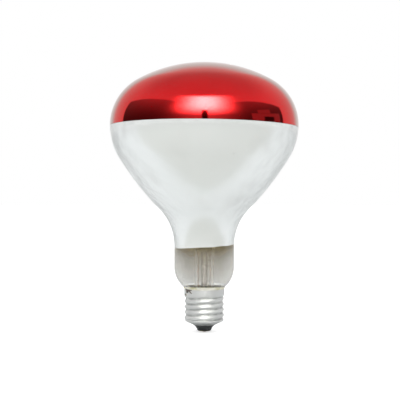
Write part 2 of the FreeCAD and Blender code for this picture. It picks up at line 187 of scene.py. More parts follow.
# Wires: copper-clad seal wires and outer leads with a dark red oxide skin from the press, nickel inner leads
# that carry the filament's ends, and five molybdenum supports set in the arbor's button. All are drawn wire,
# cut and spot welded, and stained by the heat.
copper_colour = (0.42, 0.27, 0.21, 1)
copper_oxide = (0.13, 0.06, 0.06, 1)
nickel_colour = (0.62, 0.60, 0.56, 1)
nickel_heated = (0.36, 0.33, 0.30, 1)
molybdenum_colour = (0.50, 0.50, 0.51, 1)
molybdenum_heated = (0.22, 0.22, 0.25, 1)
wire_patch_size = 500
wire_line_depth = 0.00001


def lathe_marks_group():
    """Fine marks that run around the lamp's axis, as rolling and spinning leave them."""
    numbers = {"Around": 150, "Along": 4000, "Start": 0.3, "End": 0.7}
    tree, given, result = effect_group("lathe_marks", numbers)
    scales = {"X": given["Around"], "Y": given["Around"], "Z": given["Along"]}
    stretch = put(tree, "ShaderNodeCombineXYZ", scales).outputs[0]
    stretched = {0: given["Place"], 1: stretch}
    place = put(tree, "ShaderNodeVectorMath", stretched, operation="MULTIPLY").outputs[0]
    streak = put(tree, "ShaderNodeTexNoise", {"Vector": place, "Scale": 1.0, "Detail": 3.0})
    mask = from_to(tree, streak.outputs["Fac"], given["Start"], given["End"])
    tree.links.new(mask, result["Mask"])
    return tree


lathe_marks = lathe_marks_group()


def wire_finish(name, clean, stained, roughness):
    """Drawn wire with stains from the heat of sealing."""
    material, tree, shader = finish_named(name, Metallic=1.0)
    place = object_place(tree)
    stain = effect(tree, cloudy_patches, place, Size=wire_patch_size, Start=0.35, End=0.75)
    lines = effect(tree, lathe_marks, place, Around=9000, Along=300)
    feed(
        tree,
        shader,
        Base_Color=mixed(tree, stain, clean, stained),
        Roughness=from_to(tree, stain, 0, 1, roughness, roughness + 0.25),
    )
    bumped(tree, shader, lines, wire_line_depth)
    return material


lead_wire = wire_finish("copper clad wire", copper_colour, copper_oxide, 0.3)
nickel_wire = wire_finish("drawn nickel wire", nickel_colour, nickel_heated, 0.25)
support_wire = wire_finish("support wire", molybdenum_colour, molybdenum_heated, 0.35)
for name in ("seal_wire_1", "seal_wire_2", "outer_lead_side", "outer_lead_centre"):
    dress(name, lead_wire)
for name in ("inner_lead_1", "inner_lead_2"):
    dress(name, nickel_wire)
for number in range(1, 6):
    dress(f"filament_support_{number}", support_wire)


# Filament: tungsten wire wound into a fine coil, and the coil bent into an open ring that hangs in the five
# support loops at the mirror's focus. It is dull grey and a little crystalline once it has burned.
filament_height = 85.6 * mm
filament_ring_radius = 11.0 * mm
filament_gap = radians(60)
coil_radius = 0.5 * mm
coil_wire_radius = 0.1 * mm
coil_turns = 118
coil_steps = 12
coil_wire_sides = 6
tungsten_colour = (0.33, 0.33, 0.35, 1)
tungsten_dark = (0.13, 0.13, 0.15, 1)
tungsten_grain_depth = 0.000006


def specks_group():
    """Small round specks, such as dust and pits, in a share of the cells."""
    tree, given, result = effect_group("specks", {"Cells": 600, "Radius": 0.12, "Share": 0.3})
    cells = put(tree, "ShaderNodeTexVoronoi", {"Vector": given["Place"], "Scale": given["Cells"]})
    near = work_out(tree, "LESS_THAN", cells.outputs["Distance"], given["Radius"])
    chance = part_of(tree, cells.outputs["Color"], "X")
    kept = work_out(tree, "LESS_THAN", chance, given["Share"])
    tree.links.new(times(tree, near, kept), result["Mask"])
    return tree


specks = specks_group()


def tungsten_finish():
    material, tree, shader = finish_named("burned tungsten", Metallic=1.0)
    place = object_place(tree)
    dull = effect(tree, cloudy_patches, place, Size=900, Start=0.3, End=0.7)
    grain = effect(tree, specks, place, Cells=9000, Radius=0.3, Share=0.6)
    feed(
        tree,
        shader,
        Base_Color=mixed(tree, dull, tungsten_colour, tungsten_dark),
        Roughness=from_to(tree, dull, 0, 1, 0.4, 0.65),
    )
    bumped(tree, shader, grain, tungsten_grain_depth)
    return material


def node_output(tree, kind, values):
    """A new node's first output."""
    return put(tree, kind, values).outputs[0]


def coil_tree(material):
    """Geometry nodes that wind a wire around an arc and give it its thickness."""
    tree = bpy.data.node_groups.new("wound_filament", "GeometryNodeTree")
    tree.interface.new_socket("Geometry", in_out="OUTPUT", socket_type="NodeSocketGeometry")
    for label in ("Ring Radius", "Height", "Gap", "Coil Radius", "Wire Radius", "Turns"):
        tree.interface.new_socket(label, in_out="INPUT", socket_type="NodeSocketFloat")
    given = tree.nodes.new("NodeGroupInput").outputs
    result = tree.nodes.new("NodeGroupOutput").inputs
    half_gap = times(tree, given["Gap"], 0.5)
    start = work_out(tree, "SUBTRACT", half_gap, pi / 2)
    sweep = work_out(tree, "SUBTRACT", 2 * pi, given["Gap"])
    arc = node_output(
        tree,
        "GeometryNodeCurveArc",
        {
            "Resolution": coil_turns * coil_steps + 1,
            "Radius": given["Ring Radius"],
            "Start Angle": start,
            "Sweep Angle": sweep,
        },
    )
    share = node_output(tree, "GeometryNodeSplineParameter", {})
    turned = times(tree, times(tree, share, given["Turns"]), 2 * pi)
    along_ring = work_out(tree, "ADD", times(tree, share, sweep), start)
    out = times(tree, work_out(tree, "COSINE", turned), given["Coil Radius"])
    up = times(tree, work_out(tree, "SINE", turned), given["Coil Radius"])
    offset = node_output(
        tree,
        "ShaderNodeCombineXYZ",
        {
            "X": times(tree, out, work_out(tree, "COSINE", along_ring)),
            "Y": times(tree, out, work_out(tree, "SINE", along_ring)),
            "Z": work_out(tree, "ADD", up, given["Height"]),
        },
    )
    wound = node_output(tree, "GeometryNodeSetPosition", {"Geometry": arc, "Offset": offset})
    circle = {"Resolution": coil_wire_sides, "Radius": given["Wire Radius"]}
    section = node_output(tree, "GeometryNodeCurvePrimitiveCircle", circle)
    drawn = {"Curve": wound, "Profile Curve": section, "Fill Caps": True}
    wire = node_output(tree, "GeometryNodeCurveToMesh", drawn)
    smooth = node_output(tree, "GeometryNodeSetShadeSmooth", {"Geometry": wire})
    whole = node_output(tree, "GeometryNodeRealizeInstances", {"Geometry": smooth})
    coated = node_output(tree, "GeometryNodeSetMaterial", {"Geometry": whole, "Material": material})
    tree.links.new(coated, result["Geometry"])
    return tree


def grown_by(tree, name, values):
    """The plain mesh that a geometry tree makes, as a new object."""
    carrier = bpy.data.objects.new(name + "_carrier", bpy.data.meshes.new(name))
    bpy.context.collection.objects.link(carrier)
    modifier = carrier.modifiers.new("shape", "NODES")
    modifier.node_group = tree
    for item in tree.interface.items_tree:
        if item.in_out == "INPUT" and item.name in values:
            modifier[item.identifier] = values[item.name]
    bpy.context.view_layer.update()
    evaluated = carrier.evaluated_get(bpy.context.evaluated_depsgraph_get())
    mesh = bpy.data.meshes.new_from_object(evaluated)
    bpy.data.objects.remove(carrier)
    made = bpy.data.objects.new(name, mesh)
    bpy.context.collection.objects.link(made)
    return made


filament_coil = grown_by(
    coil_tree(tungsten_finish()),
    "filament_coil",
    {
        "Ring Radius": filament_ring_radius,
        "Height": filament_height,
        "Gap": filament_gap,
        "Coil Radius": coil_radius,
        "Wire Radius": coil_wire_radius,
        "Turns": float(coil_turns),
    },
)
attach(filament_coil, "root")
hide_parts("filament")


# Bulb: one piece of soft glass blown in a mould, dome, cone, neck and the round foot that is welded to the
# flare. The wall is 1 mm. The glass is clear, with a faint waviness and a few smudges from handling.
glass_wall = 1.0 * mm
crown_radius = 91.7 * mm
shoulder_radius = 34.0 * mm
belly_radius = 40.5 * mm
cone_radius = 202.0 * mm
cone_foot_angle = radians(44.1)
fillet_radius = 34.9 * mm
neck_radius = 19.9 * mm
foot_radius = 17.0 * mm
lamp_radius = 62.4 * mm
lamp_top = 178.1 * mm
rim_height = 28.6 * mm
rim_radius = 12.3 * mm
seal_radius = 8.5 * mm
skin_steps_around = 160
bulb_rows = 150
glass_ior = 1.5
glass_colour = (0.992, 0.992, 0.985, 1)
glass_smudge = (0.975, 0.98, 0.97, 1)
glass_wave_depth = 0.00015


def bulb_arcs():
    """The outline's arcs from the crown to the seal: centre, radius, first and last angle, and bend."""
    centre_out = lamp_radius - shoulder_radius
    dome_drop = sqrt((crown_radius - shoulder_radius) ** 2 - centre_out**2)
    crown_centre = lamp_top - crown_radius
    widest = crown_centre + dome_drop
    inward = lamp_radius - neck_radius - belly_radius
    inward += cone_radius * cos(cone_foot_angle) - fillet_radius * (1 - cos(cone_foot_angle))
    belly_end = acos(inward / (cone_radius - belly_radius))
    cone_out = lamp_radius - belly_radius - (cone_radius - belly_radius) * cos(belly_end)
    cone_up = widest + (cone_radius - belly_radius) * sin(belly_end)
    fillet_up = cone_up - (cone_radius + fillet_radius) * sin(cone_foot_angle)
    shoulder_top = acos(centre_out / (crown_radius - shoulder_radius))
    foot_out = neck_radius - foot_radius
    foot_up = rim_height + foot_radius * sin(acos((rim_radius - foot_out) / foot_radius))
    seal_angle = acos((seal_radius - foot_out) / foot_radius)
    neck_length = fillet_up - foot_up
    return widest, fillet_up, neck_length, [
        (0, crown_centre, crown_radius, pi / 2, shoulder_top, -1),
        (centre_out, widest, shoulder_radius, shoulder_top, 0, -1),
        (lamp_radius - belly_radius, widest, belly_radius, 0, -belly_end, -1),
        (cone_out, cone_up, cone_radius, -belly_end, -cone_foot_angle, -1),
        (neck_radius + fillet_radius, fillet_up, fillet_radius, pi - cone_foot_angle, pi, 1),
        (foot_out, foot_up, foot_radius, 0, -seal_angle, -1),
    ]


widest_height, neck_top, neck_length, outline_arcs = bulb_arcs()
foot_arc = len(outline_arcs) - 1


def outline_spot(distance, inset):
    """Radius and height at a distance down the outline from the crown, on a wall moved inwards."""
    for place, (out, up, radius, first, last, bend) in enumerate(outline_arcs):
        if place == foot_arc:
            if distance < neck_length:
                return neck_radius - inset, neck_top - distance
            distance -= neck_length
        length = abs(last - first) * radius
        if distance <= length or place == foot_arc:
            angle = first + (last - first) * min(distance / length, 1)
            reach = radius + bend * inset
            return out + reach * cos(angle), up + reach * sin(angle)
        distance -= length


outline_length = neck_length + sum(abs(arc[4] - arc[3]) * arc[2] for arc in outline_arcs)


def outline_distance(height):
    """How far down the outline, below the crown, a height is reached."""
    low, high = 0, outline_length
    for _ in range(40):
        middle = (low + high) / 2
        if outline_spot(middle, 0)[1] > height:
            low = middle
        else:
            high = middle
    return low


def new_piece(name, corners, faces, material, sharp=40):
    """A smooth mesh object, with doubles merged, faces outwards and its sharp edges kept."""
    mesh = bpy.data.meshes.new(name)
    mesh.from_pydata(corners, [], faces)
    work = bmesh.new()
    work.from_mesh(mesh)
    bmesh.ops.remove_doubles(work, verts=work.verts, dist=1e-7)
    bmesh.ops.recalc_face_normals(work, faces=work.faces)
    for face in work.faces:
        face.smooth = True
    work.to_mesh(mesh)
    work.free()
    mesh.set_sharp_from_angle(angle=radians(sharp))
    mesh.materials.append(material)
    piece = bpy.data.objects.new(name, mesh)
    bpy.context.collection.objects.link(piece)
    return piece


def bulb_skin(name, material, start, end, outer, inner, rows):
    """A closed skin between two walls of the bulb, from one edge around it to another."""
    corners = []
    for inset in (outer, inner):
        for row in range(rows + 1):
            for step in range(skin_steps_around):
                angle = 2 * pi * step / skin_steps_around
                first, last = start(angle), end(angle)
                radius, height = outline_spot(first + (last - first) * row / rows, inset)
                corners.append((radius * cos(angle), radius * sin(angle), height))
    ring = skin_steps_around
    wall = (rows + 1) * ring
    faces = []
    for step in range(ring):
        after = (step + 1) % ring
        for row in range(rows):
            a, b = row * ring, (row + 1) * ring
            faces.append((a + step, b + step, b + after, a + after))
            faces.append((wall + a + after, wall + b + after, wall + b + step, wall + a + step))
        for edge in (0, rows * ring):
            faces.append((edge + step, edge + after, wall + edge + after, wall + edge + step))
    whole = [face for face in faces if len({corners[place] for place in face}) > 2]
    return new_piece(name, corners, whole, material)


def at_crown(angle):
    """The dome's middle, where the outline begins."""
    return 0


def at_seal(angle):
    """The end of the outline, where the bulb meets the flare."""
    return outline_length


def bulb_glass_finish():
    material, tree, shader = finish_named("clear blown glass", Transmission_Weight=1.0, IOR=glass_ior)
    place = object_place(tree)
    smudge = effect(tree, cloudy_patches, place, Size=90, Start=0.5, End=0.75)
    dust = effect(tree, specks, place, Cells=500, Radius=0.06, Share=0.15)
    wave = effect(tree, cloudy_patches, place, Size=35, Start=0.1, End=0.9)
    rough = work_out(tree, "ADD", from_to(tree, smudge, 0, 1, 0.0, 0.05), times(tree, dust, 0.2))
    feed(tree, shader, Base_Color=mixed(tree, smudge, glass_colour, glass_smudge), Roughness=rough)
    bumped(tree, shader, wave, glass_wave_depth)
    return material


bulb = bulb_skin("bulb", bulb_glass_finish(), at_crown, at_seal, 0, glass_wall, bulb_rows)
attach(bulb, "root")
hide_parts("glass_bulb")


# Mirror: aluminium evaporated in vacuum onto the inside of the cone, down to an uneven edge at the top of the
# neck. It is satin and almost white. Below the edge the vapour has thinned out into a brown haze.
mirror_rows = 72
mirror_inset = 0.94 * mm
mirror_thickness = 0.1 * mm
mirror_edge_height = 56.85 * mm
mirror_edge_tilt = radians(3.2)
mirror_edge_wander = 0.25 * mm
red_edge_drop = 0.95 * mm
red_edge_tilt = radians(0.7)
haze_rows = 24
haze_inset = 0.95 * mm
haze_thickness = 0.02 * mm
haze_foot = 30.0 * mm
mirror_colour = (0.95, 0.968, 0.968, 1)
mirror_cloud = (0.915, 0.93, 0.925, 1)
haze_colour = (0.52, 0.40, 0.16, 1)
haze_edge_height = 56.5 * mm
haze_fade_height = 28 * mm
haze_least = 0.07
haze_even = 0.29
haze_at_edge = 0.40
mirror_wave_depth = 0.0002


def at_red_edge(angle):
    """The red coat's edge, just under the widest ring and tilted a little."""
    height = widest_height - red_edge_drop - tan(red_edge_tilt) * lamp_radius * cos(angle)
    return outline_distance(height)


def at_mirror_edge(angle):
    """The mirror's lower edge, which is higher on the right and wanders a little."""
    wander = noise.noise(Vector((cos(angle), sin(angle), 0)) * 2.5)
    wander += 0.5 * noise.noise(Vector((cos(angle), sin(angle), 3)) * 9)
    rise = tan(mirror_edge_tilt) * neck_radius * cos(angle)
    return outline_distance(mirror_edge_height + rise + wander * mirror_edge_wander)


def at_haze_foot(angle):
    """The haze's lower end, level and just above the cap's rim."""
    return outline_distance(haze_foot)


def mirror_finish():
    material, tree, shader = finish_named("evaporated mirror", Metallic=1.0)
    place = object_place(tree)
    cloud = effect(tree, cloudy_patches, place, Size=55, Start=0.45, End=0.8)
    spots = effect(tree, cloudy_patches, place, Size=160, Start=0.66, End=0.8)
    wave = effect(tree, cloudy_patches, place, Size=45, Start=0.1, End=0.9)
    rough = work_out(tree, "ADD", from_to(tree, cloud, 0, 1, 0.2, 0.26), times(tree, spots, 0.1))
    feed(tree, shader, Base_Color=mixed(tree, cloud, mirror_colour, mirror_cloud), Roughness=rough)
    bumped(tree, shader, wave, mirror_wave_depth)
    return material


def haze_finish():
    """The thin end of the aluminium: dense at the mirror's edge, and thin at the foot and the front. It is
    thinned at the sides as painted light.
    """
    material, tree, shader = finish_named("thin aluminium haze", Base_Color=haze_colour, Roughness=0.4)
    place = object_place(tree)
    cloud = effect(tree, cloudy_patches, place, Size=120, Start=0.3, End=0.7)
    heights = {"Value": part_of(tree, place, "Z"), "From Min": haze_fade_height, "From Max": haze_edge_height}
    near_edge = put(tree, "ShaderNodeMapRange", heights).outputs[0]
    even = times(tree, near_edge, haze_even)
    steep = times(tree, work_out(tree, "POWER", near_edge, 8), haze_at_edge)
    patchy = work_out(tree, "ADD", times(tree, cloud, 0.02), haze_least)
    share = work_out(tree, "ADD", work_out(tree, "ADD", even, steep), patchy)
    to_back = from_to(tree, part_of(tree, place, "Y"), -16 * mm, 16 * mm, 0.6, 1.42)
    # Painted light: thinner haze at the left and right gives the neck the lighter sides that grazing light
    # gives.
    across = work_out(tree, "ABSOLUTE", part_of(tree, place, "X"))
    lighter_sides_painted = from_to(tree, across, 9 * mm, 18 * mm, 1.0, 0.7)
    feed(tree, shader, Alpha=times(tree, share, times(tree, to_back, lighter_sides_painted)))
    return material


mirror_back = mirror_inset + mirror_thickness
haze_back = haze_inset + haze_thickness
mirror = bulb_skin(
    "mirror", mirror_finish(), at_red_edge, at_mirror_edge, mirror_inset, mirror_back, mirror_rows
)
haze = bulb_skin("mirror_haze", haze_finish(), at_mirror_edge, at_haze_foot, haze_inset, haze_back, haze_rows)
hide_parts("reflector_coating")
for piece in (mirror, haze):
    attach(piece, "root")


# Red coat: a hard glossy filter lacquer, fired onto the outside of the dome over a bright ground, so that it
# looks like red chrome. It ends in a crisp edge just under the widest ring.
red_coat_rows = 84
red_coat_proud = 0.1 * mm
red_coat_inner = 0.02 * mm
red_colour = (0.64, 0.006, 0.008, 1)
red_deep = (0.59, 0.005, 0.007, 1)
red_edge_grey = (0.37, 0.36, 0.35, 1)
lacquer_wave_depth = 0.00012


def red_finish():
    """Deep red, whose gloss loses its colour at a grazing angle, as lacquer does."""
    material, tree, shader = finish_named(
        "red mirror lacquer",
        Metallic=1.0,
        Specular_Tint=(0.85, 0.6, 0.55, 1),
        Coat_Weight=1.0,
        Coat_Roughness=0.02,
        Coat_IOR=1.25,
    )
    place = object_place(tree)
    cloud = effect(tree, cloudy_patches, place, Size=60, Start=0.35, End=0.8)
    dust = effect(tree, specks, place, Cells=700, Radius=0.05, Share=0.1)
    wave = effect(tree, cloudy_patches, place, Size=28, Start=0.1, End=0.9)
    rough = work_out(tree, "ADD", from_to(tree, cloud, 0, 1, 0.05, 0.075), times(tree, dust, 0.2))
    slant = put(tree, "ShaderNodeLayerWeight", {"Blend": 0.5}).outputs["Facing"]
    lacquer = mixed(tree, cloud, red_colour, red_deep)
    colour = mixed(tree, from_to(tree, slant, 0.67, 0.82), lacquer, red_edge_grey)
    feed(tree, shader, Base_Color=colour, Roughness=rough)
    bumped(tree, shader, wave, lacquer_wave_depth)
    return material


red_coat = bulb_skin(
    "red_coat", red_finish(), at_crown, at_red_edge, -red_coat_proud, -red_coat_inner, red_coat_rows
)
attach(red_coat, "root")
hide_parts("red_coating")


# Screw shell: thin aluminium sheet drawn to a cup, then rolled into the round thread. It is satin, with fine
# marks around it from rolling, and its grooves are darkened by painted shade, patchy like dirt.
shell_colour = (0.61, 0.615, 0.61, 1)
shell_dull = (0.54, 0.55, 0.55, 1)
groove_shade_colour = (0.26, 0.27, 0.26, 1)
rolling_mark_depth = 0.00001
shell_facets_kept = 0.85
shell_axis_to_root = 12.2 * mm
shell_axis_to_crest = 12.7 * mm


def shell_finish():
    material, tree, shader = finish_named("rolled aluminium", Metallic=0.3)
    place = object_place(tree)
    flat = put(tree, "ShaderNodeVectorMath", {0: place, 1: (1, 1, 0)}, operation="MULTIPLY").outputs[0]
    radius = put(tree, "ShaderNodeVectorMath", {0: flat}, operation="LENGTH").outputs["Value"]
    groove = from_to(tree, radius, shell_axis_to_crest, shell_axis_to_root)
    cloud = effect(tree, cloudy_patches, place, Size=300, Start=0.35, End=0.7)
    marks = effect(tree, lathe_marks, place, Around=120, Along=5000)
    scuffs = effect(tree, cloudy_patches, place, Size=900, Start=0.55, End=0.75)
    # Painted shade: the grooves are darkened by their depth all round, and more in cloudy patches like dirt.
    groove_shade_and_dirt = times(tree, groove, from_to(tree, cloud, 0, 1, 0.35, 0.8))
    clean = mixed(tree, times(tree, scuffs, 0.25), shell_colour, shell_dull)
    rough = work_out(tree, "ADD", from_to(tree, marks, 0, 1, 0.39, 0.46), times(tree, scuffs, 0.05))
    feed(tree, shader, Base_Color=mixed(tree, groove_shade_and_dirt, clean, groove_shade_colour), Roughness=rough)
    bumped(tree, shader, marks, rolling_mark_depth)
    return material


def lighter_copy(name, share, material):
    """A copy of a node with that share of its facets, for one that is meshed finer than it needs."""
    rough_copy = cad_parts[name].copy()
    bpy.context.collection.objects.link(rough_copy)
    thinned = rough_copy.modifiers.new("thinned", "DECIMATE")
    thinned.ratio = share
    bpy.context.view_layer.update()
    mesh = bpy.data.meshes.new_from_object(rough_copy.evaluated_get(bpy.context.evaluated_depsgraph_get()))
    bpy.data.objects.remove(rough_copy)
    corners = [tuple(corner.co) for corner in mesh.vertices]
    faces = [tuple(face.vertices) for face in mesh.polygons]
    return new_piece(name + "_lighter", corners, faces, material)


shell = lighter_copy("screw_shell", shell_facets_kept, shell_finish())
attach(shell, "root")
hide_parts("screw_shell")


# Insulator: black glass poured into the shell's foot around the eyelet. Its flank is smooth and glossy, with
# faint rings from pouring and a few pits.
insulator_colour = (0.012, 0.014, 0.014, 1)
insulator_grey = (0.035, 0.04, 0.04, 1)
black_glass_ior = 1.52
insulator_ring_depth = 0.00003


def black_glass_finish():
    material, tree, shader = finish_named("black glass", IOR=black_glass_ior)
    place = object_place(tree)
    rings = effect(tree, lathe_marks, place, Around=60, Along=1400)
    pits = effect(tree, specks, place, Cells=1500, Radius=0.14, Share=0.12)
    rough = work_out(tree, "ADD", from_to(tree, rings, 0, 1, 0.12, 0.28), times(tree, pits, 0.4))
    feed(tree, shader, Base_Color=mixed(tree, rings, insulator_colour, insulator_grey), Roughness=rough)
    bumped(tree, shader, work_out(tree, "SUBTRACT", rings, pits), insulator_ring_depth)
    return material


dress("insulator", black_glass_finish())


# Centre contact: a thin pressed brass disc with its eyelet, set in the black glass, and the solder button
# that closes the eyelet over the centre wire. The brass is dull, and the solder smooth with a few dimples.
brass_colour = (0.66, 0.53, 0.28, 1)
brass_tarnish = (0.33, 0.24, 0.13, 1)
solder_bright = (0.66, 0.66, 0.65, 1)
solder_grey = (0.40, 0.40, 0.40, 1)
contact_pit_depth = 0.00003


def contact_finish(name, clean, stained):
    """Metal with soft tarnish and small pits."""
    material, tree, shader = finish_named(name, Metallic=1.0)
    place = object_place(tree)
    stain = effect(tree, cloudy_patches, place, Size=700, Start=0.35, End=0.7)
    pits = effect(tree, specks, place, Cells=3000, Radius=0.2, Share=0.25)
    feed(
        tree,
        shader,
        Base_Color=mixed(tree, stain, clean, stained),
        Roughness=from_to(tree, stain, 0, 1, 0.24, 0.45),
    )
    bumped(tree, shader, work_out(tree, "SUBTRACT", stain, pits), contact_pit_depth)
    return material


dress("centre_contact", contact_finish("dull brass", brass_colour, brass_tarnish))
dress("centre_solder", contact_finish("smooth solder", solder_bright, solder_grey))


# Cement: the tan basing compound, packed between the glass and the cap's rim and cured hard. Where it shows
# above the rim it is an uneven gritty bead, olive along its highest edge against the glass.
cement_floor = 24.6 * mm
cement_top_front = 30.7 * mm
cement_top_back = 28.5 * mm
collar_radius = 13.35 * mm
collar_wall = 0.3 * mm
bead_bulge = 0.12 * mm
bead_wander = 0.16 * mm
bead_foot = 27.4 * mm
bead_sink = 0.01 * mm
bead_over_rim = 0.02 * mm
olive_edge_height = 30.1 * mm
olive_edge_blur = 0.4 * mm
cement_colour = (0.86, 0.83, 0.73, 1)
cement_dark = (0.60, 0.57, 0.36, 1)
cement_olive = (0.34, 0.33, 0.13, 1)
cement_pale = (0.93, 0.91, 0.86, 1)
cement_grit_depth = 0.00012
bead_rows = 12
cement_steps_around = 320


def cement_finish():
    material, tree, shader = finish_named("basing cement", Roughness=0.85)
    place = object_place(tree)
    stain = effect(tree, cloudy_patches, place, Size=170, Start=0.42, End=0.62)
    grains = effect(tree, specks, place, Cells=3500, Radius=0.35, Share=0.5)
    grit = put(tree, "ShaderNodeTexNoise", {"Vector": place, "Scale": 2600.0, "Detail": 5.0}).outputs["Fac"]
    height = part_of(tree, place, "Z")
    at_edge = from_to(tree, height, olive_edge_height, olive_edge_height + olive_edge_blur)
    olive = times(tree, at_edge, from_to(tree, stain, 0, 1, 0.5, 1.0))
    body = mixed(tree, olive, mixed(tree, stain, cement_colour, cement_dark), cement_olive)
    colour = mixed(tree, times(tree, grains, 0.45), body, cement_pale)
    feed(tree, shader, Base_Color=colour)
    bumped(tree, shader, grit, cement_grit_depth)
    return material


def cement_ring():
    """The bead from the glass to the rim, and the hidden skirt down between the two."""
    low_distance = outline_distance(bead_foot)
    corners, faces = [], []
    for step in range(cement_steps_around):
        angle = 2 * pi * step / cement_steps_around
        way = Vector((cos(angle), sin(angle), 0))
        to_back = (1 + way.y) / 2
        top_distance = outline_distance(cement_top_front + (cement_top_back - cement_top_front) * to_back)
        section = []
        for row in range(bead_rows + 1):
            distance = low_distance + (top_distance - low_distance) * row / bead_rows
            section.append(Vector(outline_spot(distance, -bead_sink)))
        skirt_radius = section[0].x
        top, rim = section[-1], Vector((collar_radius, rim_height + bead_over_rim))
        chord = (rim - top).normalized()
        outward = Vector((-chord.y, chord.x))
        for row in range(1, bead_rows):
            share = row / bead_rows
            hump = sin(pi * share)
            bulge = 4 * bead_bulge * share * (1 - share)
            lift = noise.noise(way * 9 + Vector((0, 0, share * 2 * hump)))
            lift += 0.6 * noise.noise(way * 34 + Vector((0, 0, share * 7)))
            section.append(top + (rim - top) * share + outward * (bulge + lift * bead_wander * hump))
        section.append(rim)
        section.append(Vector((collar_radius - collar_wall, rim_height)))
        section.append(Vector((collar_radius - collar_wall, cement_floor)))
        section.append(Vector((skirt_radius, cement_floor)))
        corners += [(spot.x * way.x, spot.x * way.y, spot.y) for spot in section]
    count = len(section)
    for step in range(cement_steps_around):
        here, there = step * count, (step + 1) % cement_steps_around * count
        for place in range(count):
            after = (place + 1) % count
            faces.append((here + place, there + place, there + after, here + after))
    return new_piece("cement", corners, faces, cement_finish())


cement = cement_ring()
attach(cement, "root")
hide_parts("basing_cement")


# Side solder: the splat that joins the side wire to the collar over its rim, done by hand with an iron. Thin
# arms have run out of it, and it is brown with burned flux. The pit where the wire went in is painted black
# as its shade.
solder_direction = radians(217)
solder_voxel = 0.13 * mm
solder_wander = 0.2 * mm
solder_flatness = 0.55
solder_pit = (-0.1, 26.1)
solder_pit_radius = 1.0 * mm
# The runs of solder, in millimetres along the collar and up: start, end, and the radius at each
solder_runs = [
    ((-2.4, 29.3), (-0.9, 27.6), 0.9, 1.2),
    ((-0.9, 27.6), (-0.1, 26.1), 1.2, 1.0),
    ((-5.2, 29.4), (-2.0, 29.2), 0.35, 0.6),
    ((-0.6, 28.2), (1.6, 28.2), 0.8, 0.6),
    ((1.6, 28.2), (3.4, 28.4), 0.5, 0.3),
    ((1.2, 27.8), (3.3, 26.4), 0.6, 0.45),
    ((-2.8, 25.2), (-2.4, 24.8), 0.7, 0.5),
]
flux_dark_and_pit_shade = (0.008, 0.007, 0.006, 1)
flux_brown = (0.125, 0.10, 0.085, 1)
solder_ridge = (0.40, 0.37, 0.34, 1)
solder_grit_depth = 0.0002


def mixed_number(tree, share, first, second):
    """A number between two numbers."""
    return put(tree, "ShaderNodeMix", {0: share, 2: first, 3: second}).outputs[0]


def on_collar(across, height):
    """The place on the collar's wall, by millimetres along it from the solder's middle and upwards."""
    angle = solder_direction + across * mm / collar_radius
    return Vector((collar_radius * cos(angle), collar_radius * sin(angle), height * mm))


def side_solder_finish():
    material, tree, shader = finish_named("burned solder")
    place = object_place(tree)
    burned = effect(tree, cloudy_patches, place, Size=750, Start=0.4, End=0.62)
    ridge = effect(tree, cloudy_patches, place, Size=1300, Start=0.5, End=0.64)
    grit = put(tree, "ShaderNodeTexNoise", {"Vector": place, "Scale": 2400.0, "Detail": 4.0}).outputs["Fac"]
    pit = {0: place, 1: on_collar(*solder_pit)}
    from_pit = put(tree, "ShaderNodeVectorMath", pit, operation="DISTANCE").outputs["Value"]
    # Painted shade: the pit is coloured near black and loses its metal. The same dark colour also marks
    # burned flux.
    painted_pit_shade = from_to(tree, from_pit, 1.5 * solder_pit_radius, solder_pit_radius)
    flux = mixed(tree, times(tree, burned, 0.5), flux_brown, flux_dark_and_pit_shade)
    bare = times(tree, ridge, 0.7)
    feed(
        tree,
        shader,
        Base_Color=mixed(tree, painted_pit_shade, mixed(tree, bare, flux, solder_ridge), flux_dark_and_pit_shade),
        Metallic=mixed_number(tree, painted_pit_shade, bare, 0.0),
        Roughness=from_to(tree, burned, 0, 1, 0.4, 0.65),
    )
    bumped(tree, shader, grit, solder_grit_depth)
    return material


def add_run(work, start, end, first_radius, last_radius):
    """A row of flattened drops along the collar, which a remesh joins to one run."""
    steps = 2 + round((Vector(end) - Vector(start)).length / 0.25)
    for step in range(steps + 1):
        share = step / steps
        across, height = Vector(start).lerp(Vector(end), share)
        radius = (first_radius + (last_radius - first_radius) * share) * mm
        spot = on_collar(across, height)
        flat = Matrix.Diagonal((solder_flatness, 1, 1, 1))
        turn = Matrix.Rotation(solder_direction + across * mm / collar_radius, 4, "Z")
        place = Matrix.Translation(spot) @ turn @ flat
        bmesh.ops.create_icosphere(work, subdivisions=2, radius=radius, matrix=place)


def ragged_solder():
    """All the runs remeshed to one skin, made uneven, with the pit pushed in."""
    work = bmesh.new()
    for run in solder_runs:
        add_run(work, *run)
    mesh = bpy.data.meshes.new("side_solder_rough")
    work.to_mesh(mesh)
    work.free()
    rough_copy = bpy.data.objects.new("side_solder_rough", mesh)
    bpy.context.collection.objects.link(rough_copy)
    remesh = rough_copy.modifiers.new("even", "REMESH")
    remesh.mode = "VOXEL"
    remesh.voxel_size = solder_voxel
    bpy.context.view_layer.update()
    mesh = bpy.data.meshes.new_from_object(rough_copy.evaluated_get(bpy.context.evaluated_depsgraph_get()))
    bpy.data.objects.remove(rough_copy)
    pit = on_collar(*solder_pit)
    moved = []
    for corner in mesh.vertices:
        lift = noise.noise(corner.co * 1100) + 0.6 * noise.noise(corner.co * 2600)
        sunk = max(0.0, 1 - (corner.co - pit).length / (1.6 * solder_pit_radius))
        out = Vector((corner.co.x, corner.co.y, 0)).normalized()
        moved.append(corner.co + corner.normal * lift * solder_wander - out * sunk * solder_pit_radius)
    faces = [tuple(face.vertices) for face in mesh.polygons]
    return new_piece("ragged_side_solder", moved, faces, side_solder_finish(), 180)


side_solder = ragged_solder()
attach(side_solder, "root")
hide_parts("side_solder")


